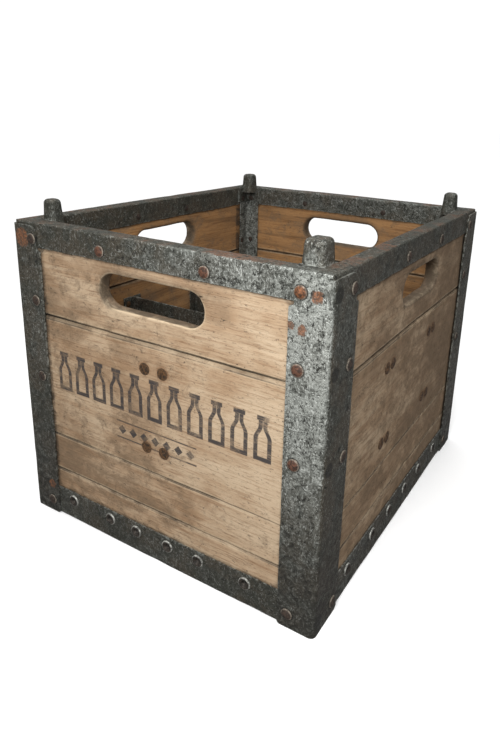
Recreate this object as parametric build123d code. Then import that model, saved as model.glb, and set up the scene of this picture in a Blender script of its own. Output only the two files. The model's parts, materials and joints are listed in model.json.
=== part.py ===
from build123d import *
import os

# Wooden milk bottle crate bound in sheet steel. Millimetres, +Z up.
# The origin is the centre of the underside. The front wall faces -Y, the right wall +X.

# ---- overall size, measured over the outer corner angles ----
width = 305.0
depth = 355.0
rim_top = 280.0

# ---- sheet and board thickness ----
angle_sheet = 1.6
rim_sheet = 1.2
board_thickness = 12.7
strip_sheet = 1.2
lug_sheet = 2.0
divider_sheet = 1.0

# ---- layers of a wall, as distances inward from the outer plane ----
rim_outer = angle_sheet
wood_outer = rim_outer + rim_sheet
wood_inner = wood_outer + board_thickness
flange_inner = wood_inner + rim_sheet

# ---- rim channel and bottom band ----
rim_bottom = 258.8
rim_bend = 2.0
band_top = 28.8
band_ledge = 30.0
band_bend = 1.6
mitre_kerf = 0.1
frame_corner_radius = 3.6

# ---- outer corner angles ----
angle_leg_x = 32.0
angle_leg_y = 38.5
angle_top = 277.0
angle_bend = 5.0
angle_step = 3.8
angle_step_height = rim_bottom - 2.5
angle_top_round = 6.5
angle_edge_margin = 8.5

# ---- inner corner strips ----
strip_leg = 17.0
strip_bend = 5.5
strip_bottom = 13.6
strip_top = 261.4

# ---- stacking lugs ----
lug_leg_x = 19.0
lug_leg_y = 21.5
lug_bottom = 262.0
lug_leg_top = 279.5
lug_knob_foot = 274.0
lug_top = 297.0
lug_bend = 4.5
lug_lean = 1.2
lug_narrowing = 1.6
lug_top_round = 4.0
lug_knobs = {
    "front_right": (18.5, 21.0), "front_left": (15.0, 15.0),
    "back_right": (15.5, 15.5), "back_left": (16.5, 16.5)}

# ---- boards: lower and upper edge of each row, same on all four walls ----
board_rows = {
    "bottom_board": (rim_sheet + 0.05, 49.0),
    "lower_board": (49.3, 85.2),
    "middle_board": (85.8, 198.9),
    "top_board": (199.9, rim_top - rim_sheet - 0.05),
}
board_edge = 0.8
middle_board_bevel = 2.4
tongue_height = 4.4
tongue_thickness = 4.0
groove_clearance = 0.3

# ---- hand holes, one in each top board: length, and middle along the wall as seen from outside ----
hand_holes = {"front": (103.0, -2.0), "right": (92.0, 10.0), "back": (95.5, 3.0), "left": (96.0, -4.0)}
hole_height = 28.0
hole_centre = 235.0
hole_outer_round = 1.6
hole_inner_round = 3.4

# ---- floor ----
slat_count = 6
slat_width = 37.0
slat_bottom = rim_sheet
slat_thickness = 12.0
floor_margin = 18.2

# ---- bottle dividers ----
divider_bottom = 97.0
divider_top = 184.0
cross_divider_y = 54.0
divider_slot = 1.4
fin_depth = 12.0
fin_gap = 0.6
fin_bend = 1.6

# ---- rivets ----
shank_radius = 2.4
head_radius = 4.9
head_height = 2.1
head_rim = 0.5
inner_head_radius = 3.2
inner_head_height = 1.2
eyelet_radius = 5.6
eyelet_bore = 2.7
eyelet_height = 1.5
eyelet_depth = 6.0
wood_head_radius = 5.2
wood_head_height = 1.0

lug_rivet_z = 266.0
angle_rivet_heights = (212.0, 141.0)
angle_foot_rivet_z = 12.5
rim_rivet_z = 266.0
band_rivet_z = 20.6
divider_rivet_heights = (177.0, 107.5)
front_divider_rivet_x = 9.2
side_divider_rivet_x = 6.4

# Along each wall, as seen from outside, + is to the right.
walls = {"front": 0, "right": 90, "back": 180, "left": 270}
wall_length = {"front": width, "right": depth, "back": width, "left": depth}
rim_rivets_along = {"front": (-51, 51), "right": (-36, 53), "back": (-51, 51), "left": (-36, 42)}
band_rivets_along = {
    "front": (-101, -54, -23, 12, 44, 90),
    "right": (-118, -66, -26, 16, 58, 108),
    "back": (-95, -49, -17, 17, 49, 95),
    "left": (-108, -58, -16, 26, 66, 118),
}


def rounded_face(corners):
    """Closed outline from (x, y, corner radius) triples."""
    face = make_face(Polyline([(x, y) for x, y, _ in corners], close=True))
    for x, y, radius in corners:
        if radius:
            face = fillet(face.vertices().sort_by_distance((x, y, 0))[0], radius)
    return face


def upright_prism(face, near, far):
    """Prism of an outline drawn in (along, height), from near to far inward of the wall plane."""
    return Pos(0, far, 0) * Rot(90, 0, 0) * extrude(face, far - near)


def on_wall(shape, wall):
    """Move a shape from the wall's own frame (x along, y inward, z up) to its place."""
    reach = depth / 2 if wall in ("front", "back") else width / 2
    return Rot(0, 0, walls[wall]) * Pos(0, -reach, 0) * shape


def at_corners(shape):
    """The four mirrored copies of a piece built at the front right corner."""
    front_left = mirror(shape, about=Plane.YZ)
    return {
        "front_right": shape,
        "front_left": front_left,
        "back_right": mirror(shape, about=Plane.XZ),
        "back_left": mirror(front_left, about=Plane.XZ),
    }


def angle_section(leg_x, leg_y, sheet, bend):
    """L-section whose outer bend is at the origin, with legs towards -X and +Y."""
    outer = rounded_face([(0, 0, bend), (0, leg_y, 0), (-leg_x, leg_y, 0), (-leg_x, 0, 0)])
    inner = rounded_face([
        (-sheet, sheet, bend - sheet), (-sheet, leg_y + 1, 0),
        (-leg_x - 1, leg_y + 1, 0), (-leg_x - 1, sheet, 0)])
    return outer - inner


def corner_piece(leg_x, leg_y, sheet, bend, offset, outline):
    """Bent corner piece at the front right; outline(leg) gives each leg's shape as seen flat."""
    bar = extrude(angle_section(leg_x, leg_y, sheet, bend), rim_top + 40)
    face_x = Pos(0, bend, 0) * Rot(90, 0, 0) * extrude(mirror(outline(leg_x), about=Plane.YZ), bend)
    face_y = Pos(-bend, 0, 0) * (Plane.YZ * outline(leg_y))
    trimmed = bar & (face_x + extrude(face_y, bend))
    return Pos(width / 2 - offset, -depth / 2 + offset, 0) * trimmed


def corner_angle_outline(leg):
    narrow = leg - angle_step
    return rounded_face([
        (0, 0, 0), (leg, 0, 3.0), (leg, angle_step_height, 2.5),
        (narrow, angle_step_height, 1.2), (narrow, angle_top, angle_top_round), (0, angle_top, 0)])


def strip_outline(leg):
    return rounded_face([
        (0, strip_bottom, 0), (leg, strip_bottom, 2.0), (leg, strip_top, 2.0), (0, strip_top, 0)])


def lug_legs():
    """The two legs of a lug, standing inside the rim channel and joined by a rounded bend."""
    height = lug_leg_top - lug_bottom

    def column(inset):
        place = Pos(-inset - lug_leg_x / 2, inset + lug_leg_y / 2, lug_bottom + height / 2)
        box = place * Box(lug_leg_x, lug_leg_y, height)
        ridge = box.edges().filter_by(Axis.Z).sort_by(lambda edge: edge.center().X - edge.center().Y)[-1]
        return fillet(ridge, lug_bend - inset)

    return column(0) - column(lug_sheet)


def lug_knob(length_x, length_y, inset):
    """Rounded knob that narrows and leans inward as it rises, inset all round, with a domed top."""
    def level(z, lean, narrowing):
        size_x = length_x - 2 * inset - lean - narrowing
        size_y = length_y - 2 * inset - lean - narrowing
        place = Pos(-inset - lean - size_x / 2, inset + lean + size_y / 2, z)
        return place * RectangleRounded(size_x, size_y, lug_bend - inset)

    foot = lug_knob_foot - (1 if inset else 0)
    knob = loft([level(foot, 0, 0), level(lug_top - inset, lug_lean, lug_narrowing)], ruled=True)
    top = knob.faces().sort_by(Axis.Z)[-1]
    return fillet(top.edges(), lug_top_round - inset)


def stacking_lug(length_x, length_y):
    """Sheet steel lug inside the front right corner: two legs, and a hollow knob above the rim."""
    lug = lug_legs() + lug_knob(length_x, length_y, 0) - lug_knob(length_x, length_y, lug_sheet)
    return Pos(width / 2 - flange_inner, -depth / 2 + flange_inner, 0) * lug


def mitred(section, length):
    """Extrude a section drawn in (inward, height) along a wall, with 45 degree ends."""
    bar = extrude(Pos(-length / 2, 0, 0) * (Plane.YZ * section), length)
    half = length / 2 - mitre_kerf
    plan = make_face(Polyline([(-half, 0), (half, 0), (half - 50, 50), (-half + 50, 50)], close=True))
    return bar & extrude(plan, rim_top + 1)


def rim_section():
    outer = rounded_face([
        (rim_outer, rim_bottom, 0), (rim_outer, rim_top, rim_bend),
        (flange_inner, rim_top, rim_bend), (flange_inner, rim_bottom, 0)])
    ceiling = rim_top - rim_sheet
    inside = rounded_face([
        (wood_outer, rim_bottom - 1, 0), (wood_outer, ceiling, rim_bend - rim_sheet),
        (wood_inner, ceiling, rim_bend - rim_sheet), (wood_inner, rim_bottom - 1, 0)])
    return outer - inside


def band_section():
    edge = rim_outer + band_ledge
    outer = rounded_face([(rim_outer, 0, band_bend), (edge, 0, 0), (edge, band_top, 0), (rim_outer, band_top, 0)])
    inside = rounded_face([
        (wood_outer, rim_sheet, band_bend - rim_sheet), (edge + 1, rim_sheet, 0),
        (edge + 1, band_top + 1, 0), (wood_outer, band_top + 1, 0)])
    return outer - inside


def frame_envelope():
    """Rounded block that the rim and the band fill, just inside the corner angles."""
    plan = RectangleRounded(width - 2 * rim_outer, depth - 2 * rim_outer, frame_corner_radius)
    return extrude(plan, rim_top + 1)


def board(wall, row):
    """One wall board, with a tongue on top and a groove below where it meets another."""
    low, high = board_rows[row]
    clear = wood_outer if wall in ("front", "back") else wood_inner
    length = wall_length[wall] - 2 * clear
    middle = (wood_outer + wood_inner) / 2
    plank = Pos(0, middle, (low + high) / 2) * Box(length, board_thickness, high - low)
    if row == "middle_board":
        face_edge = plank.edges().filter_by(Axis.X).sort_by_distance((0, wood_outer, high))[0]
        plank = chamfer(face_edge, middle_board_bevel)
    else:
        plank = chamfer(plank.edges().filter_by(Axis.Z, reverse=True), board_edge)
    if row != "top_board":
        plank += Pos(0, middle, high + tongue_height / 2) * Box(length, tongue_thickness, tongue_height)
    if row != "bottom_board":
        deep = tongue_height + groove_clearance
        plank -= Pos(0, middle, low + deep / 2) * Box(length, tongue_thickness + groove_clearance, deep)
    if row == "top_board":
        hole_length, hole_middle = hand_holes[wall]
        hole = Pos(hole_middle, hole_centre, 0) * SlotOverall(hole_length, hole_height)
        plank -= upright_prism(hole, 0, flange_inner)
        for face_y, round_edge in ((wood_outer, hole_outer_round), (wood_inner, hole_inner_round)):
            worn = [edge for edge in plank.edges()
                    if abs(edge.center().Z - hole_centre) <= hole_height / 2 + 0.1
                    and abs(edge.center().X - hole_middle) <= hole_length / 2
                    and abs(edge.center().Y - face_y) < 0.01]
            plank = fillet(worn, round_edge)
    return plank


def floor_slat(index):
    pitch = (width - 2 * floor_margin - slat_width) / (slat_count - 1)
    x = -width / 2 + floor_margin + slat_width / 2 + index * pitch
    block = Box(slat_width, depth - 2 * floor_margin, slat_thickness)
    block = chamfer(block.edges().filter_by(Axis.Y), board_edge)
    return Pos(x, 0, slat_bottom + slat_thickness / 2) * block


def slat_rivet_places():
    pitch = (width - 2 * floor_margin - slat_width) / (slat_count - 1)
    first = -width / 2 + floor_margin + slat_width / 2
    y = depth / 2 - (floor_margin + rim_outer + band_ledge) / 2
    return [(first + index * pitch, side * y) for index in range(slat_count) for side in (-1, 1)]


def divider_plate(length, crossings, slots_from_top):
    """Sheet steel divider in (along, height), slotted for half laps where it meets the others."""
    sheet = upright_prism(
        rounded_face([
            (-length / 2, divider_bottom, 3), (length / 2, divider_bottom, 3),
            (length / 2, divider_top, 5), (-length / 2, divider_top, 5)]),
        -divider_sheet / 2, divider_sheet / 2)
    half = (divider_top - divider_bottom) / 2
    z = divider_top - half / 2 if slots_from_top else divider_bottom + half / 2
    for x in crossings:
        sheet -= Pos(x, 0, z) * Box(divider_slot, 4, half + 0.4)
    return sheet


def divider_angles(rivet_x):
    """Pair of small wall angles, one each side of a divider, in the wall's own frame."""
    flange = rivet_x + 5.8 - fin_gap
    section = angle_section(flange, fin_depth, divider_sheet, fin_bend)
    left = Pos(-fin_gap, wood_inner, divider_bottom) * extrude(section, divider_top - divider_bottom)
    return left, mirror(left, about=Plane.YZ)


def domed_head(radius, height, edge):
    """Half profile of a domed head standing on z = 0, to be revolved."""
    dome = height - edge
    sphere = (radius ** 2 + dome ** 2) / (2 * dome)
    outline = [Line((0, 0), (radius, 0)), Line((radius, 0), (radius, edge)),
               RadiusArc((radius, edge), (0, height), -sphere), Line((0, height), (0, 0))]
    return revolve(Plane.XZ * make_face(outline), Axis.Z)


def lying(shape, x, inward, z, outward):
    """Turn a shape whose axis is +Z to lie across the wall, its top facing outward or inward."""
    return Pos(x, inward, z) * Rot(90 if outward else -90, 0, 0) * shape


def rivet(x, z, start, end, radius=head_radius, height=head_height):
    """Solid rivet clamping the layers from start to end inward of the wall plane."""
    shank = lying(Cylinder(shank_radius, end - start), x, (start + end) / 2, z, True)
    outer = lying(domed_head(radius, height, head_rim), x, start, z, True)
    inner = lying(domed_head(inner_head_radius, inner_head_height, head_rim), x, end, z, False)
    return shank + outer + inner


def eyelet_rivet(x, z, start, end):
    """Tubular rivet with a rolled, ring shaped outer head."""
    shank = lying(Cylinder(shank_radius + 0.8, end - start), x, (start + end) / 2, z, True)
    ring = Pos(0, 0, eyelet_height / 2) * Cylinder(eyelet_radius, eyelet_height)
    ring = fillet(ring.edges().sort_by(Axis.Z)[-1], eyelet_height * 0.7)
    inner = lying(domed_head(inner_head_radius + 1, inner_head_height, head_rim), x, end, z, False)
    bore = Cylinder(eyelet_bore, eyelet_depth + eyelet_height)
    solid = shank + lying(ring, x, start, z, True) + inner
    return solid - lying(bore, x, start + (eyelet_depth - eyelet_height) / 2, z, True)


def drill(x, z, radius=shank_radius):
    return lying(Cylinder(radius, flange_inner + 12), x, flange_inner / 2, z, True)


def lug_and_angle_places(wall):
    """Distances along a wall of the rivets in its two corner angles."""
    leg = angle_leg_x if wall in ("front", "back") else angle_leg_y
    reach = wall_length[wall] / 2 - (leg - angle_edge_margin)
    return (-reach, reach)


def rivet_plan(wall):
    """Every rivet of a wall: group, distance along, height, first layer, last layer."""
    plan = []
    for x in lug_and_angle_places(wall):
        plan.append(("lug_rivets", x, lug_rivet_z, 0, flange_inner + lug_sheet))
        for z in angle_rivet_heights:
            plan.append(("corner_rivets", x, z, 0, flange_inner + strip_sheet))
        plan.append(("corner_rivets", x, angle_foot_rivet_z, 0, wood_inner))
    for x in rim_rivets_along[wall]:
        plan.append(("rim_rivets", x, rim_rivet_z, rim_outer, flange_inner))
    for x in band_rivets_along[wall]:
        plan.append(("band_rivets", x, band_rivet_z, rim_outer, wood_inner))
    sideways = wall in ("right", "left")
    reach = side_divider_rivet_x if sideways else front_divider_rivet_x
    for centre in ((-cross_divider_y, cross_divider_y) if sideways else (0,)):
        for z in divider_rivet_heights:
            for side in (-reach, reach):
                plan.append(("divider_rivets", centre + side, z, wood_outer, wood_inner + divider_sheet))
    return plan


def build_rivets(wall):
    """Rivet solids of a wall by group, and the drills that make their holes."""
    groups, drills = {}, []
    for group, x, z, start, end in rivet_plan(wall):
        if group == "band_rivets":
            solid = eyelet_rivet(x, z, start, end)
            drills.append(on_wall(drill(x, z, shank_radius + 0.8), wall))
        else:
            wooden = group == "divider_rivets"
            head = (wood_head_radius, wood_head_height) if wooden else (head_radius, head_height)
            solid = rivet(x, z, start, end, *head)
            drills.append(on_wall(drill(x, z), wall))
            if group == "corner_rivets" and z != angle_foot_rivet_z:
                seat = lying(Cylinder(inner_head_radius + 0.1, 3), x, end + 1.5, z, True)
                drills.append(on_wall(seat, wall))
        groups.setdefault(group, []).append(on_wall(solid, wall))
    return groups, drills


def floor_rivets():
    """Short rivets through the ledge of the band and the end of each floor slat."""
    top = slat_bottom + slat_thickness
    solids, drills = [], []
    for x, y in slat_rivet_places():
        shank = Pos(x, y, top / 2) * Cylinder(shank_radius, top)
        head = Pos(x, y, top) * domed_head(head_radius - 0.6, inner_head_height, head_rim)
        solids.append(shank + head)
        drills.append(Pos(x, y, top / 2) * Cylinder(shank_radius, top + 4))
    return solids, drills


def pierce(shape, drills):
    """Cut the drills that reach a shape."""
    box = shape.bounding_box()
    near = [tool for tool in drills if box.overlaps(tool.bounding_box())]
    return shape - near if near else shape


def sheet_metal_frame():
    """Rim channels, bottom bands and the corner pieces, before drilling."""
    nodes = {}
    envelope = frame_envelope()
    for wall in walls:
        nodes[f"{wall}_rim_channel"] = on_wall(mitred(rim_section(), wall_length[wall]), wall) & envelope
        nodes[f"{wall}_bottom_band"] = on_wall(mitred(band_section(), wall_length[wall]), wall) & envelope
    corner_kinds = {
        "corner_angle": corner_piece(
            angle_leg_x, angle_leg_y, angle_sheet, angle_bend, 0, corner_angle_outline),
        "inner_corner_strip": corner_piece(
            strip_leg, strip_leg, strip_sheet, strip_bend, flange_inner, strip_outline),
    }
    for kind, shape in corner_kinds.items():
        for corner, copy in at_corners(shape).items():
            nodes[f"{corner}_{kind}"] = copy
    for corner, (length_x, length_y) in lug_knobs.items():
        nodes[f"{corner}_stacking_lug"] = at_corners(stacking_lug(length_x, length_y))[corner]
    return nodes


def woodwork():
    nodes = {}
    for wall in walls:
        for row in board_rows:
            nodes[f"{wall}_{row}"] = on_wall(board(wall, row), wall)
    for index in range(slat_count):
        nodes[f"floor_slat_{index + 1}"] = floor_slat(index)
    return nodes


def dividers():
    """One divider from front to back, two across it, and the wall angles that hold their ends."""
    reach = wood_inner + 1.0
    long_sheet = divider_plate(depth - 2 * reach, (-cross_divider_y, cross_divider_y), True)
    cross_sheet = divider_plate(width - 2 * reach, (0,), False)
    nodes = {
        "long_divider": Rot(0, 0, 90) * long_sheet,
        "front_cross_divider": Pos(0, -cross_divider_y, 0) * cross_sheet,
        "back_cross_divider": Pos(0, cross_divider_y, 0) * cross_sheet,
    }
    for wall in ("front", "back"):
        nodes[f"{wall}_divider_angles"] = [
            on_wall(angle, wall) for angle in divider_angles(front_divider_rivet_x)]
    for wall in ("right", "left"):
        solids = []
        for centre in (-cross_divider_y, cross_divider_y):
            solids += [on_wall(Pos(centre, 0, 0) * angle, wall)
                       for angle in divider_angles(side_divider_rivet_x)]
        nodes[f"{wall}_divider_angles"] = solids
    return nodes


def main():
    rivet_groups, drills = {}, []
    for wall in walls:
        groups, wall_drills = build_rivets(wall)
        drills += wall_drills
        for group, solids in groups.items():
            rivet_groups.setdefault(group, []).extend(solids)
    rivet_groups["floor_rivets"], floor_drills = floor_rivets()
    drills += floor_drills

    nodes = {**sheet_metal_frame(), **woodwork(), **dividers()}
    for name, shape in nodes.items():
        pieces = shape if isinstance(shape, list) else [shape]
        nodes[name] = [pierce(piece, drills) for piece in pieces]
    nodes.update(rivet_groups)

    os.makedirs("parts", exist_ok=True)
    for name, pieces in nodes.items():
        solids = [solid for piece in pieces for solid in piece.solids()]
        export_step(solids[0] if len(solids) == 1 else Compound(solids), f"parts/{name}.step")


if __name__ == "__main__":
    main()
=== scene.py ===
import itertools
import json
import math

import bmesh
import bpy
import numpy as np
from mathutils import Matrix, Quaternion, Vector, kdtree


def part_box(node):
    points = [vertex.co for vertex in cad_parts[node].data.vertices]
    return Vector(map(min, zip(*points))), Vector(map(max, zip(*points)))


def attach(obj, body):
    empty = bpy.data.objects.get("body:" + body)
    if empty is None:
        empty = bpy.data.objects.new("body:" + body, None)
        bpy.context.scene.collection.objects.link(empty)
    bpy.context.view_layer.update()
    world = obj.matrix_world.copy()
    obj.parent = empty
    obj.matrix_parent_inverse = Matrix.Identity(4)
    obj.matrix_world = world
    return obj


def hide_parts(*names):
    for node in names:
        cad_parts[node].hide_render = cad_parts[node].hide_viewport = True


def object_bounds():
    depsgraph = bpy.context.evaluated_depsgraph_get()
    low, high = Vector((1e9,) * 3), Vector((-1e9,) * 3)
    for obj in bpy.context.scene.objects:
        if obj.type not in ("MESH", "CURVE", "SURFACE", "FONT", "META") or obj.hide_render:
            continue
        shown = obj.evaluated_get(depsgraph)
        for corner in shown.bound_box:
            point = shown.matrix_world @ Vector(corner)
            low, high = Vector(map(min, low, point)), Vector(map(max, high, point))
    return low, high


# Old wooden milk bottle crate, bound in galvanised sheet steel.
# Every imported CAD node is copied, cut into a fine mesh, worn and bent, and given a procedural finish.
# Metres, +Z up, front wall facing -Y. Names that end in _mm, and values times MM, are millimetres.
# In noise and ramp calls the numbers are feature sizes, seeds and the ends of the ramp.

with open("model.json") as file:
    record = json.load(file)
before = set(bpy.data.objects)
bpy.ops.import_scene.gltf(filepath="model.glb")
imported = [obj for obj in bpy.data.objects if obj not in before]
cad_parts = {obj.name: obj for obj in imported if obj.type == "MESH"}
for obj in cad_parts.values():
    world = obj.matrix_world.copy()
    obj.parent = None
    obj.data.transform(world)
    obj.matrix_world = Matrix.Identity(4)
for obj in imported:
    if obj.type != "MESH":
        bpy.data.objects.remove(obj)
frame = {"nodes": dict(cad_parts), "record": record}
cad_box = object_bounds()

MM = 0.001
WELD = 2e-6
FAR_MM = 40.0
RIVET_WEAR_MM = 0.25
FLAT = math.radians(0.4)
HARD = math.radians(24)
SHARP = math.radians(38)
WALLS = ("front", "right", "back", "left")
CORNERS = ("front_right", "front_left", "back_right", "back_left")
ROWS = ("bottom_board", "lower_board", "middle_board", "top_board")

angle_boxes = [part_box(f"{corner}_corner_angle") for corner in CORNERS]
HALF_WIDTH = max(high.x for low, high in angle_boxes)
HALF_DEPTH = max(high.y for low, high in angle_boxes)
RIM_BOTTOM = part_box("front_rim_channel")[0].z
BAND_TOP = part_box("front_bottom_band")[1].z
LEG_X = HALF_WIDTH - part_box("front_right_corner_angle")[0].x
LEG_Y = HALF_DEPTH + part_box("front_right_corner_angle")[1].y
WALL_THICKNESS = 16.7 * MM


# ---- smooth repeatable noise, worked out for whole arrays of points ----

def lattice(cells, seed):
    """Pseudo-random number from 0 to 1 for each row of whole numbers."""
    mixed = cells[:, 0] * 374761393 + cells[:, 1] * 668265263 + cells[:, 2] * 2246822519 + seed * 3266489917
    mixed = mixed & 0xFFFFFFFF
    mixed = ((mixed ^ (mixed >> 15)) * 1274126177) & 0xFFFFFFFF
    mixed = ((mixed ^ (mixed >> 13)) * 2654435761) & 0xFFFFFFFF
    return ((mixed ^ (mixed >> 16)) & 0xFFFFFF) / float(0xFFFFFF)


def noise(points, cell_mm, seed):
    """Smooth noise from -1 to 1, with features about cell_mm across (one length, or one for each axis)."""
    scaled = points / (np.asarray(cell_mm, float) * MM)
    base = np.floor(scaled).astype(np.int64)
    part = scaled - base
    part = part * part * (3 - 2 * part)
    total = np.zeros(len(points))
    for corner in itertools.product((0, 1), repeat=3):
        weight = np.prod(np.where(np.array(corner), part, 1 - part), axis=1)
        total += weight * lattice(base + np.array(corner), seed)
    return 2 * total - 1


def ramp(values, low, high):
    """0 below low, 1 above high, smooth between. low may be above high."""
    t = np.clip((values - low) / (high - low), 0, 1)
    return t * t * (3 - 2 * t)


def sag(points):
    """How far the whole crate has gone out of true at each point. Touching pieces move together."""
    offsets = [noise(points, 120, seed) * 0.55 + noise(points, 45, seed + 1) * 0.2 for seed in (11, 23, 37)]
    return np.stack(offsets, axis=1) * np.array([1, 1, 0.7]) * MM


# ---- places ----

def to_wall(points, wall):
    """Points as (along the wall to the right, up, in from the outer plane), seen from outside."""
    turn = -WALLS.index(wall) * math.pi / 2
    along = points[:, 0] * math.cos(turn) - points[:, 1] * math.sin(turn)
    inward = points[:, 0] * math.sin(turn) + points[:, 1] * math.cos(turn)
    inward = inward + (HALF_DEPTH if wall in ("front", "back") else HALF_WIDTH)
    return np.stack([along, points[:, 2], inward], axis=1)


def leg_edge(wall):
    """Distance from the wall's middle to where the corner angles' legs begin."""
    if wall in ("front", "back"):
        return HALF_WIDTH - LEG_X
    return HALF_DEPTH - LEG_Y


def welded(node):
    """Welded bmesh copy of a CAD node."""
    mesh = bmesh.new()
    mesh.from_mesh(frame["nodes"][node].data)
    bmesh.ops.remove_doubles(mesh, verts=mesh.verts, dist=WELD)
    return mesh


def islands(mesh):
    """Lists of vertices, one for each loose part of a bmesh."""
    found = []
    seen = set()
    for start in mesh.verts:
        if start.index in seen:
            continue
        part = []
        waiting = [start]
        seen.add(start.index)
        while waiting:
            vertex = waiting.pop()
            part.append(vertex)
            for edge in vertex.link_edges:
                other = edge.other_vert(vertex)
                if other.index not in seen:
                    seen.add(other.index)
                    waiting.append(other)
        found.append(part)
    return found


def island_middles(node):
    """Middle of each loose part of a CAD node."""
    mesh = welded(node)
    mesh.verts.index_update()
    middles = []
    for part in islands(mesh):
        places = np.array([v.co for v in part])
        middles.append((places.min(0) + places.max(0)) / 2)
    mesh.free()
    return np.array(middles)


RIVETS = {
    name: island_middles(name)
    for name in ("lug_rivets", "corner_rivets", "rim_rivets", "band_rivets", "divider_rivets")
}


def rivet_distance(points, wall, names):
    """Distance in MM, in the plane of the wall, to the nearest rivet of these nodes in that wall."""
    mine = to_wall(points, wall)
    nearest = np.full(len(points), FAR_MM)
    for name in names:
        places = to_wall(RIVETS[name], wall)
        for along, up, inward in places[np.abs(places[:, 2]) < 25 * MM]:
            nearest = np.minimum(nearest, np.hypot(mine[:, 0] - along, mine[:, 1] - up) / MM)
    return nearest


# ---- building a worn copy of a CAD node ----

def cut_copy(node, steps_mm):
    """Welded copy of a node, cut into a grid with steps along X, Y and Z so that it can be worn."""
    mesh = welded(node)
    bmesh.ops.dissolve_limit(mesh, angle_limit=FLAT, verts=mesh.verts[:], edges=mesh.edges[:])
    low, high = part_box(node)
    order = sorted(range(3), key=lambda axis: (high[axis] - low[axis]) / (steps_mm[axis] or 1e9))
    for axis in order:
        if not steps_mm[axis]:
            continue
        count = max(1, round((high[axis] - low[axis]) / (steps_mm[axis] * MM)))
        normal = Vector((axis == 0, axis == 1, axis == 2))
        for k in range(1, count):
            place = low + (high - low) * (k / count)
            bmesh.ops.bisect_plane(
                mesh, geom=mesh.verts[:] + mesh.edges[:] + mesh.faces[:],
                dist=WELD, plane_co=place, plane_no=normal)
    bmesh.ops.triangulate(mesh, faces=[f for f in mesh.faces if len(f.verts) > 4])
    return mesh


def hard_edge_distance(mesh, reach_mm=12.0):
    """Distance in MM from each vertex to the nearest hard edge, up to reach_mm."""
    hard = {}
    for edge in mesh.edges:
        if len(edge.link_faces) == 2 and edge.calc_face_angle(0) > HARD:
            for share in (0, 0.5, 1):
                place = edge.verts[0].co.lerp(edge.verts[1].co, share)
                hard[tuple(round(c * 1e5) for c in place)] = place
    tree = kdtree.KDTree(len(hard) + 1)
    tree.insert(Vector((9, 9, 9)), 0)
    for index, place in enumerate(hard.values()):
        tree.insert(place, index + 1)
    tree.balance()
    return np.array([min(reach_mm, tree.find(v.co)[2] / MM) for v in mesh.verts])


class Piece:
    """A worn copy of one CAD node: points and normals as arrays, then a finished object."""

    def __init__(self, node, steps_mm, measure_edges=True):
        self.node = node
        mesh = cut_copy(node, steps_mm)
        mesh.verts.index_update()
        self.edge_mm = hard_edge_distance(mesh) if measure_edges else None
        self.data = bpy.data.meshes.new(node + "_worn")
        mesh.to_mesh(self.data)
        mesh.free()
        count = len(self.data.vertices)
        self.points = np.zeros(count * 3)
        self.normals = np.zeros(count * 3)
        self.data.vertices.foreach_get("co", self.points)
        self.data.vertex_normals.foreach_get("vector", self.normals)
        self.points = self.points.reshape(-1, 3)
        self.normals = self.normals.reshape(-1, 3)

    def give(self, name, values):
        """Store one number, or one vector, for each vertex, for the materials to read."""
        values = np.asarray(values, np.float32)
        flat = values.ndim == 1
        layer = self.data.attributes.new(name, "FLOAT" if flat else "FLOAT_VECTOR", "POINT")
        layer.data.foreach_set("value" if flat else "vector", values.ravel())

    def finish(self, worn_mm, material, slot):
        """Wear the surface away by worn_mm, put the crate's sag on it and link it as a finished piece."""
        moved = self.points - self.normals * (np.maximum(worn_mm, 0) * MM)[:, None]
        moved = moved + sag(self.points)
        moved = np.clip(moved, np.array(cad_box[0]), np.array(cad_box[1]))
        self.data.vertices.foreach_set("co", moved.astype(np.float32).ravel())
        self.data.polygons.foreach_set("use_smooth", [True] * len(self.data.polygons))
        self.data.set_sharp_from_angle(angle=SHARP)
        self.data.materials.clear()
        self.data.materials.append(material)
        piece = bpy.data.objects.new(self.node + "_worn", self.data)
        bpy.context.scene.collection.objects.link(piece)
        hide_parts(self.node)
        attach(piece, "root")
        return piece


# ---- materials ----

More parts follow.
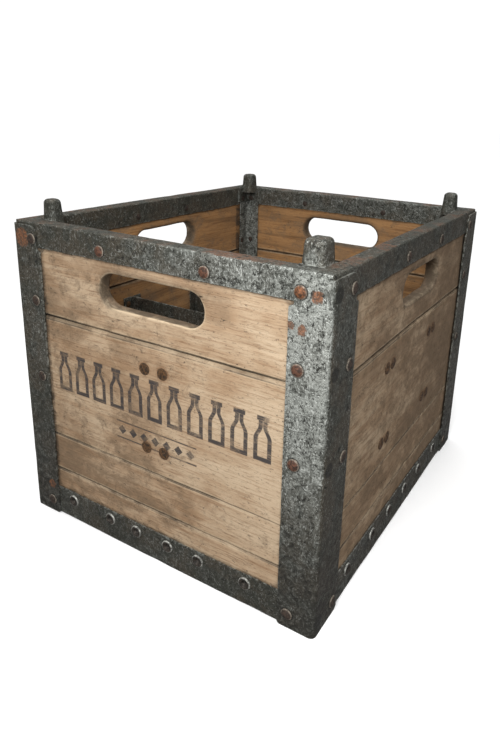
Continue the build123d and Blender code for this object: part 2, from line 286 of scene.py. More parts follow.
class Graph:
    """Short calls for building one material's nodes."""

    def __init__(self, name):
        self.material = bpy.data.materials.new(name)
        self.material.use_nodes = True
        self.tree = self.material.node_tree
        self.tree.nodes.clear()

    def plug(self, value, socket):
        if isinstance(value, bpy.types.NodeSocket):
            self.tree.links.new(value, socket)
        elif socket.type == "RGBA" and len(value) == 3:
            socket.default_value = (*value, 1)
        else:
            socket.default_value = value

    def node(self, kind, inputs=(), **settings):
        made = self.tree.nodes.new("ShaderNode" + kind)
        for name, value in settings.items():
            setattr(made, name, value)
        for name, value in dict(inputs).items():
            self.plug(value, made.inputs[name])
        return made

    def number(self, name):
        """A per-vertex number given to the piece."""
        return self.node("Attribute", attribute_name=name).outputs["Fac"]

    def vector(self, name):
        return self.node("Attribute", attribute_name=name).outputs["Vector"]

    def scaled(self, place, scale):
        return self.node("VectorMath", {0: place, 1: scale}, operation="MULTIPLY").outputs[0]

    def math(self, operation, *values):
        made = self.node("Math", operation=operation)
        for value, socket in zip(values, made.inputs):
            self.plug(value, socket)
        return made.outputs[0]

    def noise(self, place, scale, detail=3.0, roughness=0.55, distortion=0.0):
        if not isinstance(scale, (int, float)):
            place = self.scaled(place, scale)
            scale = 1.0
        return self.node("TexNoise", {
            "Vector": place, "Scale": scale, "Detail": detail, "Roughness": roughness,
            "Distortion": distortion}).outputs["Fac"]

    def ramp(self, value, low, high, start=0.0, end=1.0):
        """Smooth step from start to end as value goes from low to high. Any of them may be a socket."""
        return self.node("MapRange", {
            "Value": value, "From Min": low, "From Max": high, "To Min": start, "To Max": end,
        }, interpolation_type="SMOOTHSTEP").outputs["Result"]

    def blend(self, factor, under, over, mode="MIX"):
        made = self.node("Mix", data_type="RGBA", blend_type=mode)
        self.plug(factor, made.inputs[0])
        self.plug(under, made.inputs[6])
        self.plug(over, made.inputs[7])
        return made.outputs[2]

    def bump(self, height, distance_mm, strength):
        inputs = {"Height": height, "Distance": distance_mm * MM, "Strength": strength}
        return self.node("Bump", inputs).outputs["Normal"]

    def surface(self, **inputs):
        named = {name.replace("_", " "): value for name, value in inputs.items()}
        shader = self.node("BsdfPrincipled", named)
        output = self.node("OutputMaterial")
        self.tree.links.new(shader.outputs[0], output.inputs["Surface"])
        return self.material


CLEAN_WOOD = (0.55, 0.42, 0.285)
BROWN_WOOD = (0.375, 0.240, 0.138)
PORE_WOOD = (0.13, 0.085, 0.052)
# Pale worn wood, also used for the painted highlight on the hand-hole lip.
WORN_WOOD_AND_HIGHLIGHT = (0.62, 0.49, 0.33)
INNER_WOOD = (0.40, 0.215, 0.088)
INNER_DARK = (0.21, 0.115, 0.052)
BROWN_DIRT = (0.190, 0.132, 0.082)
# Dark brown of hand soiling, also used for painted shade at the hand holes.
HAND_GRIME_AND_SHADE = (0.085, 0.062, 0.040)
# Near-black soiling, also used for the painted shadow beside the metal.
BLACK_DIRT_AND_SHADE = (0.030, 0.026, 0.021)
RUST_STAIN = (0.22, 0.10, 0.04)
STENCIL_INK = (0.045, 0.040, 0.040)


def repeated(g, along, middle, pitch, count):
    """Distance from the middle of the nearest of count equal marks, and how far outside their row."""
    from_middle = g.math("SUBTRACT", along, middle)
    turn = g.math("ADD", g.math("DIVIDE", from_middle, pitch), 0.5 * (count % 2))
    side = g.math("ABSOLUTE", g.math("MULTIPLY", g.math("SUBTRACT", g.math("FRACT", turn), 0.5), pitch))
    outside = g.math("SUBTRACT", g.math("ABSOLUTE", from_middle), pitch * count / 2)
    return side, outside


def band_distance(g, value, low, high):
    """How far value is outside low to high, negative inside."""
    from_middle = g.math("SUBTRACT", value, (low + high) / 2)
    return g.math("SUBTRACT", g.math("ABSOLUTE", from_middle), (high - low) / 2)


def bottle_row(g, along, up, base, height, radius, stroke, pitch, count):
    """Distance to a row of plain milk bottle outlines."""
    side, outside = repeated(g, along, 0.0, pitch, count)
    above_base = g.math("SUBTRACT", up, base)
    neck = g.ramp(above_base, height * 0.50, height * 0.78, radius, radius * 0.48)
    lip = g.math("MULTIPLY", g.math("GREATER_THAN", above_base, height * 0.90), radius * 0.18)
    beside = g.math("SUBTRACT", side, g.math("ADD", neck, lip))
    body = g.math("MAXIMUM", beside, band_distance(g, up, base, base + height))
    outline = g.math("SUBTRACT", g.math("ABSOLUTE", g.math("ADD", body, stroke / 2)), stroke / 2)
    return g.math("MAXIMUM", outline, outside)


def lozenge_rule(g, along, up, middle, size, pitch, count):
    """Distance to a row of small lozenges between two thin lines."""
    side, outside = repeated(g, along, 0.0, pitch, count)
    above = g.math("ABSOLUTE", g.math("SUBTRACT", up, middle))
    lozenge = g.math("SUBTRACT", g.math("ADD", side, above), size)
    thin = 1.0 * MM
    lines = g.math("MINIMUM", band_distance(g, up, middle + 1.7 * size, middle + 1.7 * size + thin),
                   band_distance(g, up, middle - 1.7 * size - thin, middle - 1.7 * size))
    return g.math("MAXIMUM", g.math("MINIMUM", lozenge, lines), outside)


def wall_stencil(g, place):
    """Mask of the faded generic marks: a row of bottles over a lozenge rule."""
    parts = g.node("SeparateXYZ", {0: place})
    along, up = parts.outputs[0], parts.outputs[1]
    bottles = bottle_row(g, along, up, 133 * MM, 36 * MM, 7.6 * MM, 3.4 * MM, 20.4 * MM, 11)
    rule = lozenge_rule(g, along, up, 115 * MM, 4.2 * MM, 12 * MM, 7)
    return g.ramp(g.math("MINIMUM", bottles, rule), 0.5 * MM, -0.3 * MM)


def board_wood(name, stencil=False):
    """Bare weathered board: grain, pores, stains, soiling and a painted shadow by the metal, soiling and
    painted shade at the hand holes, a painted highlight on the hole lip, browner soiling and painted shade
    where dirt_and_shade says, and worn paler edges.
    """
    g = Graph(name)
    place = g.vector("grain")
    dirt_and_shade = g.number("dirt_and_shade")
    tone = g.number("tone")
    edge = g.number("edge_mm")
    hole = g.number("hole_mm")
    grime_and_shade = g.number("hole_grime_and_shade")
    metal = g.number("metal_mm")
    rivet = g.number("rivet_mm")
    inside = g.number("inside")

    rings = g.noise(place, (6, 95, 90), 4, 0.6, 0.6)
    fibres = g.noise(place, (34, 620, 420), 5, 0.72)
    ticks = g.noise(place, (230, 1050, 900), 3, 0.6)
    patches = g.noise(place, (15, 20, 20), 6, 0.62, 0.4)
    smudges = g.noise(place, (70, 92, 90), 9, 0.76, 0.5)
    specks = g.noise(place, (300, 430, 400), 4, 0.8)

    brown = g.math("ADD", g.ramp(rings, 0.38, 0.68, 0.0, 0.45), g.math("MULTIPLY", tone, 0.14))
    # Browner where dirt_and_shade is high: soiling, and painted shade on the right wall and the left of the
    # front.
    brown = g.math("ADD", brown, g.math("MULTIPLY", dirt_and_shade, 0.55))
    brown = g.math("ADD", brown, g.ramp(patches, 0.36, 0.64, -0.30, 0.34))
    colour = g.blend(brown, CLEAN_WOOD, BROWN_WOOD)
    inner = g.blend(g.ramp(rings, 0.42, 0.72), INNER_WOOD, INNER_DARK)
    colour = g.blend(inside, colour, inner)
    colour = g.blend(g.ramp(fibres, 0.48, 0.66, 0.0, 0.50), colour, BROWN_WOOD, "MULTIPLY")
    colour = g.blend(g.ramp(ticks, 0.58, 0.68, 0.0, 0.50), colour, PORE_WOOD)

    # Stains and smudges spread further where dirt_and_shade is high, so the painted shade widens them too.
    dirt_and_shade_shift = g.math("MULTIPLY", dirt_and_shade, 0.22)
    stain = g.ramp(patches, g.math("SUBTRACT", 0.60, dirt_and_shade_shift), g.math("SUBTRACT", 0.84, dirt_and_shade_shift), 0.0, 0.62)
    colour = g.blend(stain, colour, BROWN_DIRT)
    smudge = g.ramp(smudges, g.math("SUBTRACT", 0.60, dirt_and_shade_shift), g.math("SUBTRACT", 0.78, dirt_and_shade_shift), 0.0, 0.66)
    colour = g.blend(smudge, colour, BROWN_DIRT)
    grit = g.math("MULTIPLY", g.ramp(specks, 0.58, 0.66), g.ramp(smudges, 0.44, 0.60, 0.12, 0.95))
    colour = g.blend(grit, colour, BLACK_DIRT_AND_SHADE)

    worn = g.math("MULTIPLY", g.ramp(edge, 2.2, 0.8), g.ramp(smudges, 0.60, 0.44, 0.05, 0.45))
    colour = g.blend(worn, colour, WORN_WOOD_AND_HIGHLIGHT)
    seam = g.math("MULTIPLY", g.ramp(edge, 1.0, 0.2), g.ramp(patches, 0.36, 0.6, 0.25, 0.8))
    colour = g.blend(seam, colour, BLACK_DIRT_AND_SHADE)
    # Paler lip round the outer edge of the hand hole: wear, and a painted highlight.
    lip = g.math("MULTIPLY", g.ramp(hole, 2.6, 0.8), g.ramp(smudges, 0.62, 0.46, 0.15, 0.75))
    colour = g.blend(lip, colour, WORN_WOOD_AND_HIGHLIGHT)
    # Dark in and around the hand hole: hand soiling and painted shade.
    colour = g.blend(g.math("MULTIPLY", grime_and_shade, g.ramp(smudges, 0.30, 0.56, 0.55, 0.98)), colour, HAND_GRIME_AND_SHADE)
    # Dark band on the wood beside the metal: soiling, and a painted shadow of the proud metal edge.
    by_metal_dirt_and_shade = g.math("MULTIPLY", g.ramp(metal, 3.2, 0.0), g.ramp(smudges, 0.36, 0.6, 0.20, 0.8))
    colour = g.blend(by_metal_dirt_and_shade, colour, BLACK_DIRT_AND_SHADE)
    halo = g.math("MULTIPLY", g.ramp(rivet, 8.5, 4.5), g.ramp(smudges, 0.4, 0.6, 0.1, 0.6))
    colour = g.blend(halo, colour, RUST_STAIN)
    if stencil:
        marks = wall_stencil(g, g.vector("wall_place"))
        rubbed_off = g.ramp(smudges, 0.66, 0.48, 0.40, 1.0)
        kept = g.math("MULTIPLY", rubbed_off, g.ramp(fibres, 0.68, 0.48, 0.55, 0.97))
        outer = g.math("SUBTRACT", 1.0, inside)
        colour = g.blend(g.math("MULTIPLY", g.math("MULTIPLY", marks, kept), outer), colour, STENCIL_INK)

    relief = g.math("ADD", g.math("MULTIPLY", fibres, 0.6), g.math("MULTIPLY", ticks, 0.35))
    relief = g.math("ADD", relief, g.math("MULTIPLY", smudges, 0.4))
    relief = g.math("SUBTRACT", relief, g.math("MULTIPLY", grit, 0.35))
    normal = g.bump(relief, 0.45, 0.85)
    gloss = g.ramp(smudges, 0.35, 0.65, 0.62, 0.88)
    return g.surface(Base_Color=colour, Roughness=gloss, Normal=normal, Specular_IOR_Level=0.30)


BRIGHT_ZINC = (0.62, 0.64, 0.60)
GREY_ZINC = (0.350, 0.365, 0.335)
DULL_STEEL = (0.048, 0.051, 0.041)
BLACK_STEEL = (0.016, 0.016, 0.014)
SOOT = (0.026, 0.024, 0.020)
EARTH_FILM = (0.105, 0.082, 0.056)
RUST_BROWN = (0.100, 0.052, 0.030)
RUST_ORANGE = (0.27, 0.105, 0.042)
STEEL_HEART = (0.065, 0.052, 0.042)


def old_steel(name):
    """Galvanised sheet gone dull: grey galvanising left in places, flecks, pits, earth film and rust. Where
    zinc_and_highlight carries painted highlight, the same grey paints it.
    """
    g = Graph(name)
    place = g.node("TexCoord").outputs["Object"]
    zinc_and_highlight = g.number("zinc_and_highlight")
    rust = g.number("rust")
    edge = g.number("edge_mm")
    soil = g.number("soil")
    rivet = g.number("rivet_mm")

    broad = g.noise(place, 42, 4, 0.6, 0.4)
    clusters = g.noise(place, 95, 5, 0.7, 0.7)
    mottle = g.noise(place, 210, 4, 0.62, 0.9)
    grain = g.noise(place, 560, 3, 0.6)
    flakes = g.noise(place, (330, 330, 260), 2, 0.6, 2.6)
    strokes = g.noise(place, (800, 800, 130), 2, 0.5, 1.6)

    field = g.math("ADD", g.math("MULTIPLY", mottle, 0.65), g.math("MULTIPLY", grain, 0.35))
    field = g.ramp(field, 0.34, 0.66)
    # Grey where zinc_and_highlight is high: galvanising, and painted highlight on the nearest pieces.
    level = g.math("MULTIPLY", zinc_and_highlight, g.math("ADD", 0.22, g.math("MULTIPLY", field, 1.2)))
    level = g.math("ADD", level, g.ramp(field, 0.55, 1.0, -0.05, 0.10))
    level = g.math("MULTIPLY", level, g.ramp(clusters, 0.50, 0.60, 1.0, 0.35))
    colour = g.blend(level, DULL_STEEL, GREY_ZINC)
    film = g.math("MULTIPLY", g.ramp(broad, 0.40, 0.62, 0.1, 0.75), g.ramp(zinc_and_highlight, 0.75, 0.10, 0.1, 0.7))
    colour = g.blend(film, colour, EARTH_FILM)
    fleck = g.math("MAXIMUM", g.ramp(flakes, 0.60, 0.66), g.ramp(strokes, 0.635, 0.69))
    fleck = g.math("MULTIPLY", fleck, g.ramp(zinc_and_highlight, 0.0, 0.8, 0.30, 0.75))
    colour = g.blend(fleck, colour, BRIGHT_ZINC)
    pits = g.math("MAXIMUM", g.ramp(mottle, 0.40, 0.33), g.ramp(flakes, 0.40, 0.35))
    colour = g.blend(g.math("MULTIPLY", pits, 0.78), colour, BLACK_STEEL)
    rubbed = g.math("MULTIPLY", g.ramp(edge, 1.2, 0.0), g.ramp(mottle, 0.45, 0.58, 0.0, 0.45))
    colour = g.blend(rubbed, colour, GREY_ZINC)
    colour = g.blend(g.math("MULTIPLY", soil, g.ramp(mottle, 0.62, 0.40, 0.35, 0.95)), colour, SOOT)
    # Dark ring just outside each outer rivet head: painted shade of the crease where the head meets the
    # sheet.
    rivet_edge_shade = g.math("MULTIPLY", g.ramp(rivet, 6.2, 5.0), g.ramp(mottle, 0.35, 0.55, 0.4, 0.9))
    colour = g.blend(rivet_edge_shade, colour, BLACK_STEEL)

    patchy = g.math("ADD", g.math("MULTIPLY", mottle, 0.55), g.math("MULTIPLY", broad, 0.45))
    reach = g.math("MULTIPLY", rust, 0.46)
    eaten = g.ramp(patchy, g.math("SUBTRACT", 0.78, reach), g.math("SUBTRACT", 0.92, reach))
    orange = g.math("MULTIPLY", g.ramp(grain, 0.40, 0.66), g.ramp(rust, 0.55, 1.1, 0.06, 1.0))
    oxide = g.blend(orange, RUST_BROWN, RUST_ORANGE)
    colour = g.blend(g.math("MULTIPLY", eaten, 0.9), colour, oxide)

    height = g.math("ADD", mottle, g.math("MULTIPLY", grain, 0.5))
    height = g.math("ADD", height, g.math("MULTIPLY", flakes, 0.8))
    height = g.math("SUBTRACT", height, g.math("MULTIPLY", pits, 0.4))
    normal = g.bump(height, 0.9, 0.95)
    gloss = g.math("ADD", g.ramp(mottle, 0.35, 0.65, 0.60, 0.42), g.math("MULTIPLY", eaten, 0.3))
    shine = g.math("MULTIPLY", g.math("SUBTRACT", 1.0, eaten), 0.35)
    return g.surface(Base_Color=colour, Metallic=shine, Roughness=gloss, Normal=normal)


def rivet_metal(name, heart, ring):
    """Rusted round head, with a rubbed paler ring at its edge."""
    g = Graph(name)
    place = g.node("TexCoord").outputs["Object"]
    radial = g.number("radial")
    mottle = g.noise(place, 420, 6, 0.7)
    fine = g.noise(place, 1500, 3, 0.7)
    fresh = g.number("fresh")
    base = g.blend(g.ramp(fresh, 0.1, 0.5), STEEL_HEART, heart)
    base = g.blend(g.ramp(fresh, 0.6, 1.0), base, RUST_ORANGE)
    colour = g.blend(g.ramp(mottle, 0.38, 0.62, 0.0, 0.85), base, BLACK_STEEL)
    colour = g.blend(g.ramp(fine, 0.55, 0.7, 0.0, 0.5), colour, BLACK_STEEL)
    rubbed = g.math("MULTIPLY", g.ramp(radial, 0.80, 0.90), g.ramp(mottle, 0.60, 0.42, 0.25, 0.95))
    colour = g.blend(rubbed, colour, ring)
    normal = g.bump(g.math("ADD", mottle, g.math("MULTIPLY", fine, 0.4)), 0.4, 0.8)
    gloss = g.ramp(mottle, 0.3, 0.7, 0.45, 0.8)
    return g.surface(Base_Color=colour, Metallic=0.35, Roughness=gloss, Normal=normal)


# ---- wooden pieces ----

def hole_box(wall):
    """Middle (along, up), half length and half height of the wall's hand hole, from the board's mesh."""
    opening = next(o for o in frame["record"]["physics"]["openings"] if o["name"] == f"{wall}_hand_hole")
    centre = to_wall(np.array([np.mean(opening["box_m"], axis=0)]), wall)[0]
    mesh = welded(f"{wall}_top_board")
    places = to_wall(np.array([v.co for v in mesh.verts]), wall)
    mesh.free()
    away = np.abs(places - centre)
    bore = (away[:, 0] < 65 * MM) & (away[:, 1] < 20 * MM)
    bore = bore & (places[:, 2] > 4 * MM) & (places[:, 2] < 12.5 * MM)
    return centre[0], centre[1], away[bore, 0].max(), away[bore, 1].max()


HOLES = {wall: hole_box(wall) for wall in WALLS}


def hole_distance(places, wall):
    """Distance in MM from the edge of the wall's round-ended hand hole."""
    along, up, half_length, half_height = HOLES[wall]
    beyond = np.maximum(np.abs(places[:, 0] - along) - (half_length - half_height), 0)
    return np.clip((np.hypot(beyond, places[:, 1] - up) - half_height) / MM, -5, FAR_MM)


def metal_distance(places, wall):
    """Distance in MM from the outer metalwork that frames the wall's boards; negative beneath it."""
    beside = leg_edge(wall) - np.abs(places[:, 0])
    below = RIM_BOTTOM - places[:, 1]
    above = places[:, 1] - BAND_TOP
    return np.clip(np.minimum(np.minimum(beside, below), above) / MM, -10, 30)


def hole_grime_and_shade(places, wall, hole):
    """Darkening at the hand hole: in the bore, over the hole, at its left end, and on the other walls all
    round its edge. It is hand soiling and painted shade: painted shade deep in the bore and under the top
    edge, which faces down.
    """
    along, up, half_length, half_height = HOLES[wall]
    # Painted shade deep in the recessed bore.
    bore = ramp(hole, 1.6, 0.2) * ramp(places[:, 2] / MM, 3.2, 4.6) * 0.95
    # Over the top edge: hand soiling, and painted shade under the rounded edge that faces down.
    above = ramp(places[:, 1] - up, 0.4 * half_height, half_height) * ramp(hole, 7.0, 1.0) * 0.6
    left = ramp(places[:, 0] - along, -0.6 * half_length, -0.95 * half_length) * ramp(hole, 3.0, 0.5)
    grime_and_shade = np.maximum(np.maximum(bore, above), left)
    if wall != "front":
        grime_and_shade = np.maximum(grime_and_shade, ramp(hole, 4.0, 0.5) * 0.9)
    return np.clip(grime_and_shade, 0, 1)


# How brown each wall is made: soiling, and on the right wall also painted shade.
WALL_DIRT_AND_SHADE = {"front": 0.04, "right": 0.70, "back": 0.55, "left": 0.62}


def wall_dirt_and_shade(places, wall):
    """Darker to the left and in the lower board on the front, and towards the back on the right. The
    darkening to the left of the front and towards the back of the right wall is painted shade of the light
    falling off.
    """
    along, up = places[:, 0], places[:, 1]
    dirt_and_shade = np.full(len(places), WALL_DIRT_AND_SHADE[wall])
    if wall == "front":
        dirt_and_shade = dirt_and_shade + 0.62 * ramp(along, 0.11, -0.05)
        dirt_and_shade = dirt_and_shade + 0.32 * ramp(up, 0.105, 0.07) * ramp(up, 0.030, 0.045)
    if wall == "right":
        dirt_and_shade = dirt_and_shade + 0.45 * ramp(along, -0.14, 0.12)
    return dirt_and_shade


def board(wall, row, order, material):
    """One worn board of a wall."""
    grid = (5, 4, 1.6) if wall in ("front", "back") else (4, 5, 1.6)
    piece = Piece(f"{wall}_{row}", grid)
    places = to_wall(piece.points, wall)
    shift = np.array([0.37, 0.71, 0.53]) * (order + 1)
    own = places + shift
    piece.give("grain", own)
    piece.give("wall_place", places)
    piece.give("edge_mm", piece.edge_mm)
    hole = hole_distance(places, wall) if row == "top_board" else np.full(len(places), FAR_MM)
    piece.give("hole_mm", np.where(places[:, 2] < WALL_THICKNESS / 2, hole, FAR_MM))
    piece.give("hole_grime_and_shade", hole_grime_and_shade(places, wall, hole))
    piece.give("metal_mm", metal_distance(places, wall))
    piece.give("rivet_mm", rivet_distance(piece.points, wall, ("divider_rivets",)))
    piece.give("inside", ramp(places[:, 2], WALL_THICKNESS * 0.62, WALL_THICKNESS * 0.8))
    tone = lattice(np.array([[order, 3, 5]]), 9)[0] * 2 - 1
    piece.give("tone", np.full(len(places), tone))
    piece.give("dirt_and_shade", wall_dirt_and_shade(places, wall))

    grain = noise(own, (46, 2.6, 7), order) * 0.5 + 0.5
    dents = np.maximum(noise(own, (17, 9, 11), order + 50) - 0.35, 0)
    fray = np.maximum(noise(own, (15, 5, 6), order + 90) - 0.05, 0) * ramp(piece.edge_mm, 4.0, 0.0)
    rubbed = ramp(hole, 6, 0) * (0.5 + 0.5 * noise(own, (16, 10, 12), order + 70))
    worn = 0.16 * grain + 0.7 * dents + 0.4 * fray + 0.3 * rubbed
    return piece.finish(worn, material, "wall_board_wood")


def slat(number, material):
    """One worn floor slat, grain along Y."""
    node = f"floor_slat_{number}"
    piece = Piece(node, (3, 7, 6))
    places = piece.points[:, [1, 0, 2]] + np.array([0.43, 0.29, 0.61]) * number
    piece.give("grain", places)
    piece.give("edge_mm", piece.edge_mm)
    plain = {
        "hole_mm": FAR_MM, "hole_grime_and_shade": 0, "metal_mm": 30,
        "rivet_mm": FAR_MM, "inside": 0.75, "dirt_and_shade": 0.9}
    for name, value in plain.items():
        piece.give(name, np.full(len(places), float(value)))
    piece.give("tone", np.full(len(places), (number % 3 - 1) * 0.6))
    fray = np.maximum(noise(places, (15, 5, 6), number + 190), 0) * ramp(piece.edge_mm, 4.0, 0.0)
    worn = 0.16 * (noise(places, (46, 2.6, 7), number) * 0.5 + 0.5) + 1.0 * fray
    return piece.finish(worn, material, "floor_slat_wood")


# ---- steel pieces ----

def outer_rivet_distance(points):
    """Distance in MM to the nearest rivet head, for points on the outer faces of the walls."""
    nearest = np.full(len(points), FAR_MM)
    for wall in WALLS:
        away = rivet_distance(points, wall, ("lug_rivets", "corner_rivets", "rim_rivets"))
        outer = to_wall(points, wall)[:, 2] < 3 * MM
        nearest = np.where(outer, np.minimum(nearest, away), nearest)
    return nearest


def steel(node, grid, zinc_and_highlight, rust, dent_mm=0.45):
    """One worn piece of sheet steel. zinc_and_highlight says how much galvanising shows, with painted
    highlight added on some pieces, and rust how much rust shows, at each point.
    """
    piece = Piece(node, grid)
    points = piece.points
    drift = noise(points, 60, 301) * 0.16
    piece.give("zinc_and_highlight", np.clip(zinc_and_highlight(points, piece.normals) + drift, 0, 1.2))
    piece.give("rust", np.clip(rust(points, piece.normals) + noise(points, 34, 302) * 0.14, 0, 1.2))
    piece.give("edge_mm", piece.edge_mm)
    piece.give("rivet_mm", outer_rivet_distance(points))
    legs = 0.85 if node.endswith("corner_angle") else 0.25
    piece.give("soil", legs * ramp(points[:, 2], 0.15, 0.01))
    dents = np.maximum(noise(points, 24, 303) - 0.15, 0) + 0.6 * np.maximum(noise(points, 9, 304) - 0.3, 0)
    nicks = np.maximum(noise(points, 7, 305) - 0.1, 0) * ramp(piece.edge_mm, 3.0, 0.0)
    worn = np.minimum(dent_mm * dents + 0.3 * nicks, dent_mm)
    if "divider" in node:
        return piece.finish(worn, thin_steel, "divider_sheet")
    return piece.finish(worn, sheet_steel, "galvanised_sheet")


def constant(value):
    return lambda points, normals: np.full(len(points), value)


def front_rim_zinc_and_highlight(points, normals):
    """Galvanising on the front rim, with a painted highlight that grows towards the crate's right front
    corner on faces turned to the front.
    """
    return 0.08 + 0.58 * ramp(points[:, 0], -0.08, 0.14) * ramp(normals[:, 1], 0.2, -0.6)


def near_leg_zinc_and_highlight(points, normals):
    """Painted highlight on the near leg: bright on its front face, more so towards the top, with a little
    galvanising on its sides.
    """
    front = ramp(normals[:, 1], -0.3, -0.9)
    side = (1 - front) * 0.08
    return side + front * (0.30 + 0.95 * ramp(points[:, 2], 0.02, 0.25))


# Rust spots on the front: place along X, height and radius, in millimetres.
RUST_SPOTS = (
    (140.5, 264.5, 6.0), (131.0, 240.5, 4.5), (122.5, 243.0, 3.5), (-141.0, 266.0, 9.0), (-128.0, 30.0, 5.0))


def rusty(base, upward=0.0):
    """Rust all over by base, with more on what faces up and in the spots on the front."""

    def amount(points, normals):
        total = base + upward * ramp(normals[:, 2], 0.3, 0.9)
        outermost = ramp(points[:, 1], -HALF_DEPTH + 4 * MM, -HALF_DEPTH + 3 * MM)
        for x, z, radius in RUST_SPOTS:
            away = np.hypot(points[:, 0] - x * MM, points[:, 2] - z * MM) / (radius * MM)
            total = total + 1.1 * ramp(away, 1.3, 0.6) * outermost
        return total

    return amount


# ---- rivets ----

def freshness(node, middle):
    """How red one rivet's rust is: old dark steel at 0, brown at 0.5, fresh orange at 1."""
    if node in ("divider_rivets", "floor_rivets"):
        return 0.5
    if node == "band_rivets":
        return 0.2
    if middle[1] > -HALF_DEPTH + 12 * MM or middle[2] < 30 * MM:
        return 0.20
    if node == "lug_rivets" and middle[0] > 0:
        return 0.95
    return 0.5 if middle[0] > -0.12 else 0.22


def rivet_set(node, material):
    """All rivets of one kind, worn, with each vertex's place across its head stored from 0 to 1."""
    piece = Piece(node, (None, None, None), measure_edges=False)
    mesh = bmesh.new()
    mesh.from_mesh(piece.data)
    mesh.verts.index_update()
    radial = np.zeros(len(piece.points))
    fresh = np.zeros(len(piece.points))
    for part in islands(mesh):
        rows = [v.index for v in part]
        places = piece.points[rows]
        middle = (places.max(0) + places.min(0)) / 2
        to_front = HALF_DEPTH - abs(middle[1])
        to_side = HALF_WIDTH - abs(middle[0])
        axis = 2 if node == "floor_rivets" else (1 if to_front < to_side else 0)
        across = [k for k in range(3) if k != axis]
        spread = np.linalg.norm((places - middle)[:, across], axis=1)
        radial[rows] = spread / spread.max()
        fresh[rows] = freshness(node, middle)
    mesh.free()
    piece.give("radial", radial)
    piece.give("fresh", fresh)
    worn = RIVET_WEAR_MM * (0.5 + 0.5 * noise(piece.points, 2.5, 401))
    return piece.finish(worn, material, "aged_rivet")


# ---- putting the crate together ----

wood = board_wood("weathered_board")
marked_wood = board_wood("stencilled_board", stencil=True)
sheet_steel = old_steel("old_galvanised_steel")
thin_steel = old_steel("divider_steel")
rusty_head = rivet_metal("rusty_rivet", (0.175, 0.078, 0.047), (0.27, 0.235, 0.19))
brown_head = rivet_metal("brown_rivet", (0.17, 0.085, 0.035), (0.13, 0.08, 0.045))
dark_head = rivet_metal("dark_eyelet", (0.085, 0.064, 0.045), (0.50, 0.50, 0.46))

for wall_number, wall_name in enumerate(WALLS):
    for row_number, row_name in enumerate(ROWS):
        finish = marked_wood if (wall_name, row_name) == ("front", "middle_board") else wood
        board(wall_name, row_name, wall_number * 4 + row_number, finish)

for slat_number in range(1, 7):
    slat(slat_number, wood)

for wall_name in WALLS:
    # The front rim's galvanising carries painted highlight towards the right front corner.
    rim_zinc_and_highlight = front_rim_zinc_and_highlight if wall_name == "front" else constant(0.20 if wall_name == "back" else 0.03)
    steel(f"{wall_name}_rim_channel", (5, 5, 3), rim_zinc_and_highlight, rusty(0.10, 0.55))
    steel(f"{wall_name}_bottom_band", (5, 5, 4), constant(0.12), rusty(0.15))
    steel(f"{wall_name}_divider_angles", (3, 3, 6), constant(0.1), rusty(0.35), dent_mm=0.2)

for corner_name in CORNERS:
    # The nearest corner gets painted highlight: the near leg's front face and a brighter lug.
    nearest = corner_name == "front_right"
    leg_zinc_and_highlight = near_leg_zinc_and_highlight if nearest else constant(0.05)
    lug_zinc_and_highlight = constant(0.32 if nearest else 0.12)
    steel(f"{corner_name}_corner_angle", (3, 3, 3), leg_zinc_and_highlight, rusty(0.12))
    steel(f"{corner_name}_inner_corner_strip", (4, 4, 5), constant(0.48), rusty(0.05), dent_mm=0.3)
    steel(f"{corner_name}_stacking_lug", (2.5, 2.5, 2.5), lug_zinc_and_highlight, rusty(0.3, 0.3))

for divider_name in ("long_divider", "front_cross_divider", "back_cross_divider"):
    steel(divider_name, (8, 8, 8), constant(0.08), rusty(0.35), dent_mm=0.15)

rivet_set("lug_rivets", rusty_head)
rivet_set("corner_rivets", rusty_head)
rivet_set("rim_rivets", rusty_head)
rivet_set("band_rivets", dark_head)
rivet_set("divider_rivets", brown_head)
rivet_set("floor_rivets", brown_head)


# ---- floor, lights and camera ----

def pale_floor():
    """Large plain floor, white to the camera. It bounces little light, so the walls keep their shading."""
    mesh = bmesh.new()
    bmesh.ops.create_grid(mesh, x_segments=4, y_segments=4, size=14)
    data = bpy.data.meshes.new("floor")
    mesh.to_mesh(data)
    mesh.free()
    floor = bpy.data.objects.new("floor", data)
    bpy.context.scene.collection.objects.link(floor)
    g = Graph("pale_floor")
    seen = g.node("LightPath").outputs["Is Camera Ray"]
    g.surface(Base_Color=g.blend(seen, (0.22, 0.215, 0.21), (1.0, 1.0, 1.0)), Roughness=0.9)
    data.materials.append(g.material)


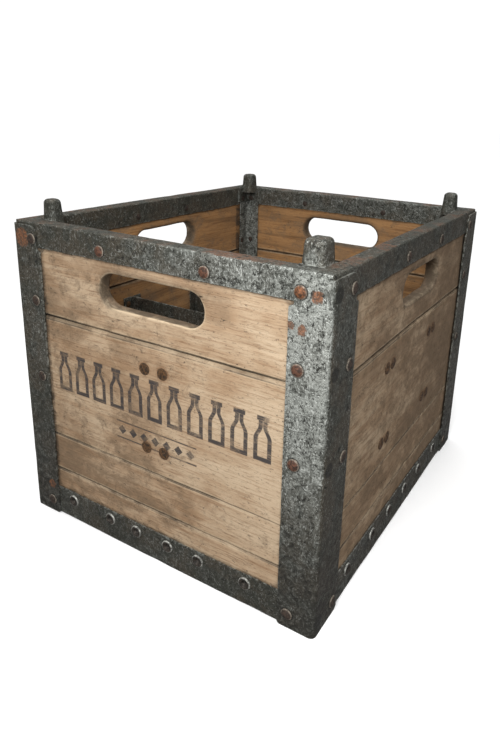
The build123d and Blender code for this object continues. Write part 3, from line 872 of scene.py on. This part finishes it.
def white_world(ambient):
    """White behind the crate, with only a little light of its own on it."""
    world = bpy.data.worlds.new("studio")
    bpy.context.scene.world = world
    world.use_nodes = True
    tree = world.node_tree
    tree.nodes.clear()
    path = tree.nodes.new("ShaderNodeLightPath")
    level = tree.nodes.new("ShaderNodeMapRange")
    level.inputs["To Min"].default_value = ambient
    level.inputs["To Max"].default_value = 1.1
    back = tree.nodes.new("ShaderNodeBackground")
    back.inputs["Color"].default_value = (1, 1, 1, 1)
    output = tree.nodes.new("ShaderNodeOutputWorld")
    tree.links.new(path.outputs["Is Camera Ray"], level.inputs["Value"])
    tree.links.new(level.outputs["Result"], back.inputs["Strength"])
    tree.links.new(back.outputs[0], output.inputs["Surface"])


def soft_light(name, place, target, size, power):
    data = bpy.data.lights.new(name, "AREA")
    data.shape = "DISK"
    data.size = size
    data.energy = power
    light = bpy.data.objects.new(name, data)
    light.location = place
    light.rotation_mode = "QUATERNION"
    light.rotation_quaternion = (Vector(target) - Vector(place)).to_track_quat("-Z", "Y")
    bpy.context.scene.collection.objects.link(light)


def soft_sky(strength, spread):
    """Even soft light from straight above, over the whole floor."""
    data = bpy.data.lights.new("soft_sky", "SUN")
    data.energy = strength
    data.angle = math.radians(spread)
    light = bpy.data.objects.new("soft_sky", data)
    bpy.context.scene.collection.objects.link(light)


def photo_camera():
    """Camera at the front right, above the rim and close by."""
    data = bpy.data.cameras.new("camera")
    data.lens = 29.41
    data.sensor_width = 36
    data.shift_x = -0.0333
    data.shift_y = -0.1035
    data.clip_start = 0.01
    data.clip_end = 60
    camera = bpy.data.objects.new("camera", data)
    camera.location = (0.30417, -0.50557, 0.37632)
    looking = Vector((-0.48634, 0.82282, -0.29400)).to_track_quat("-Z", "Y")
    camera.rotation_mode = "QUATERNION"
    camera.rotation_quaternion = looking @ Quaternion((0, 0, 1), math.radians(1.854))
    bpy.context.scene.collection.objects.link(camera)
    bpy.context.scene.camera = camera


pale_floor()
white_world(0.022)
soft_light("key_by_camera", (0.235, -0.56, 0.50), (0.06, -0.12, 0.16), 0.26, 3.5)
soft_sky(3.3, 95)
photo_camera()
bpy.context.scene.view_settings.view_transform = "Standard"
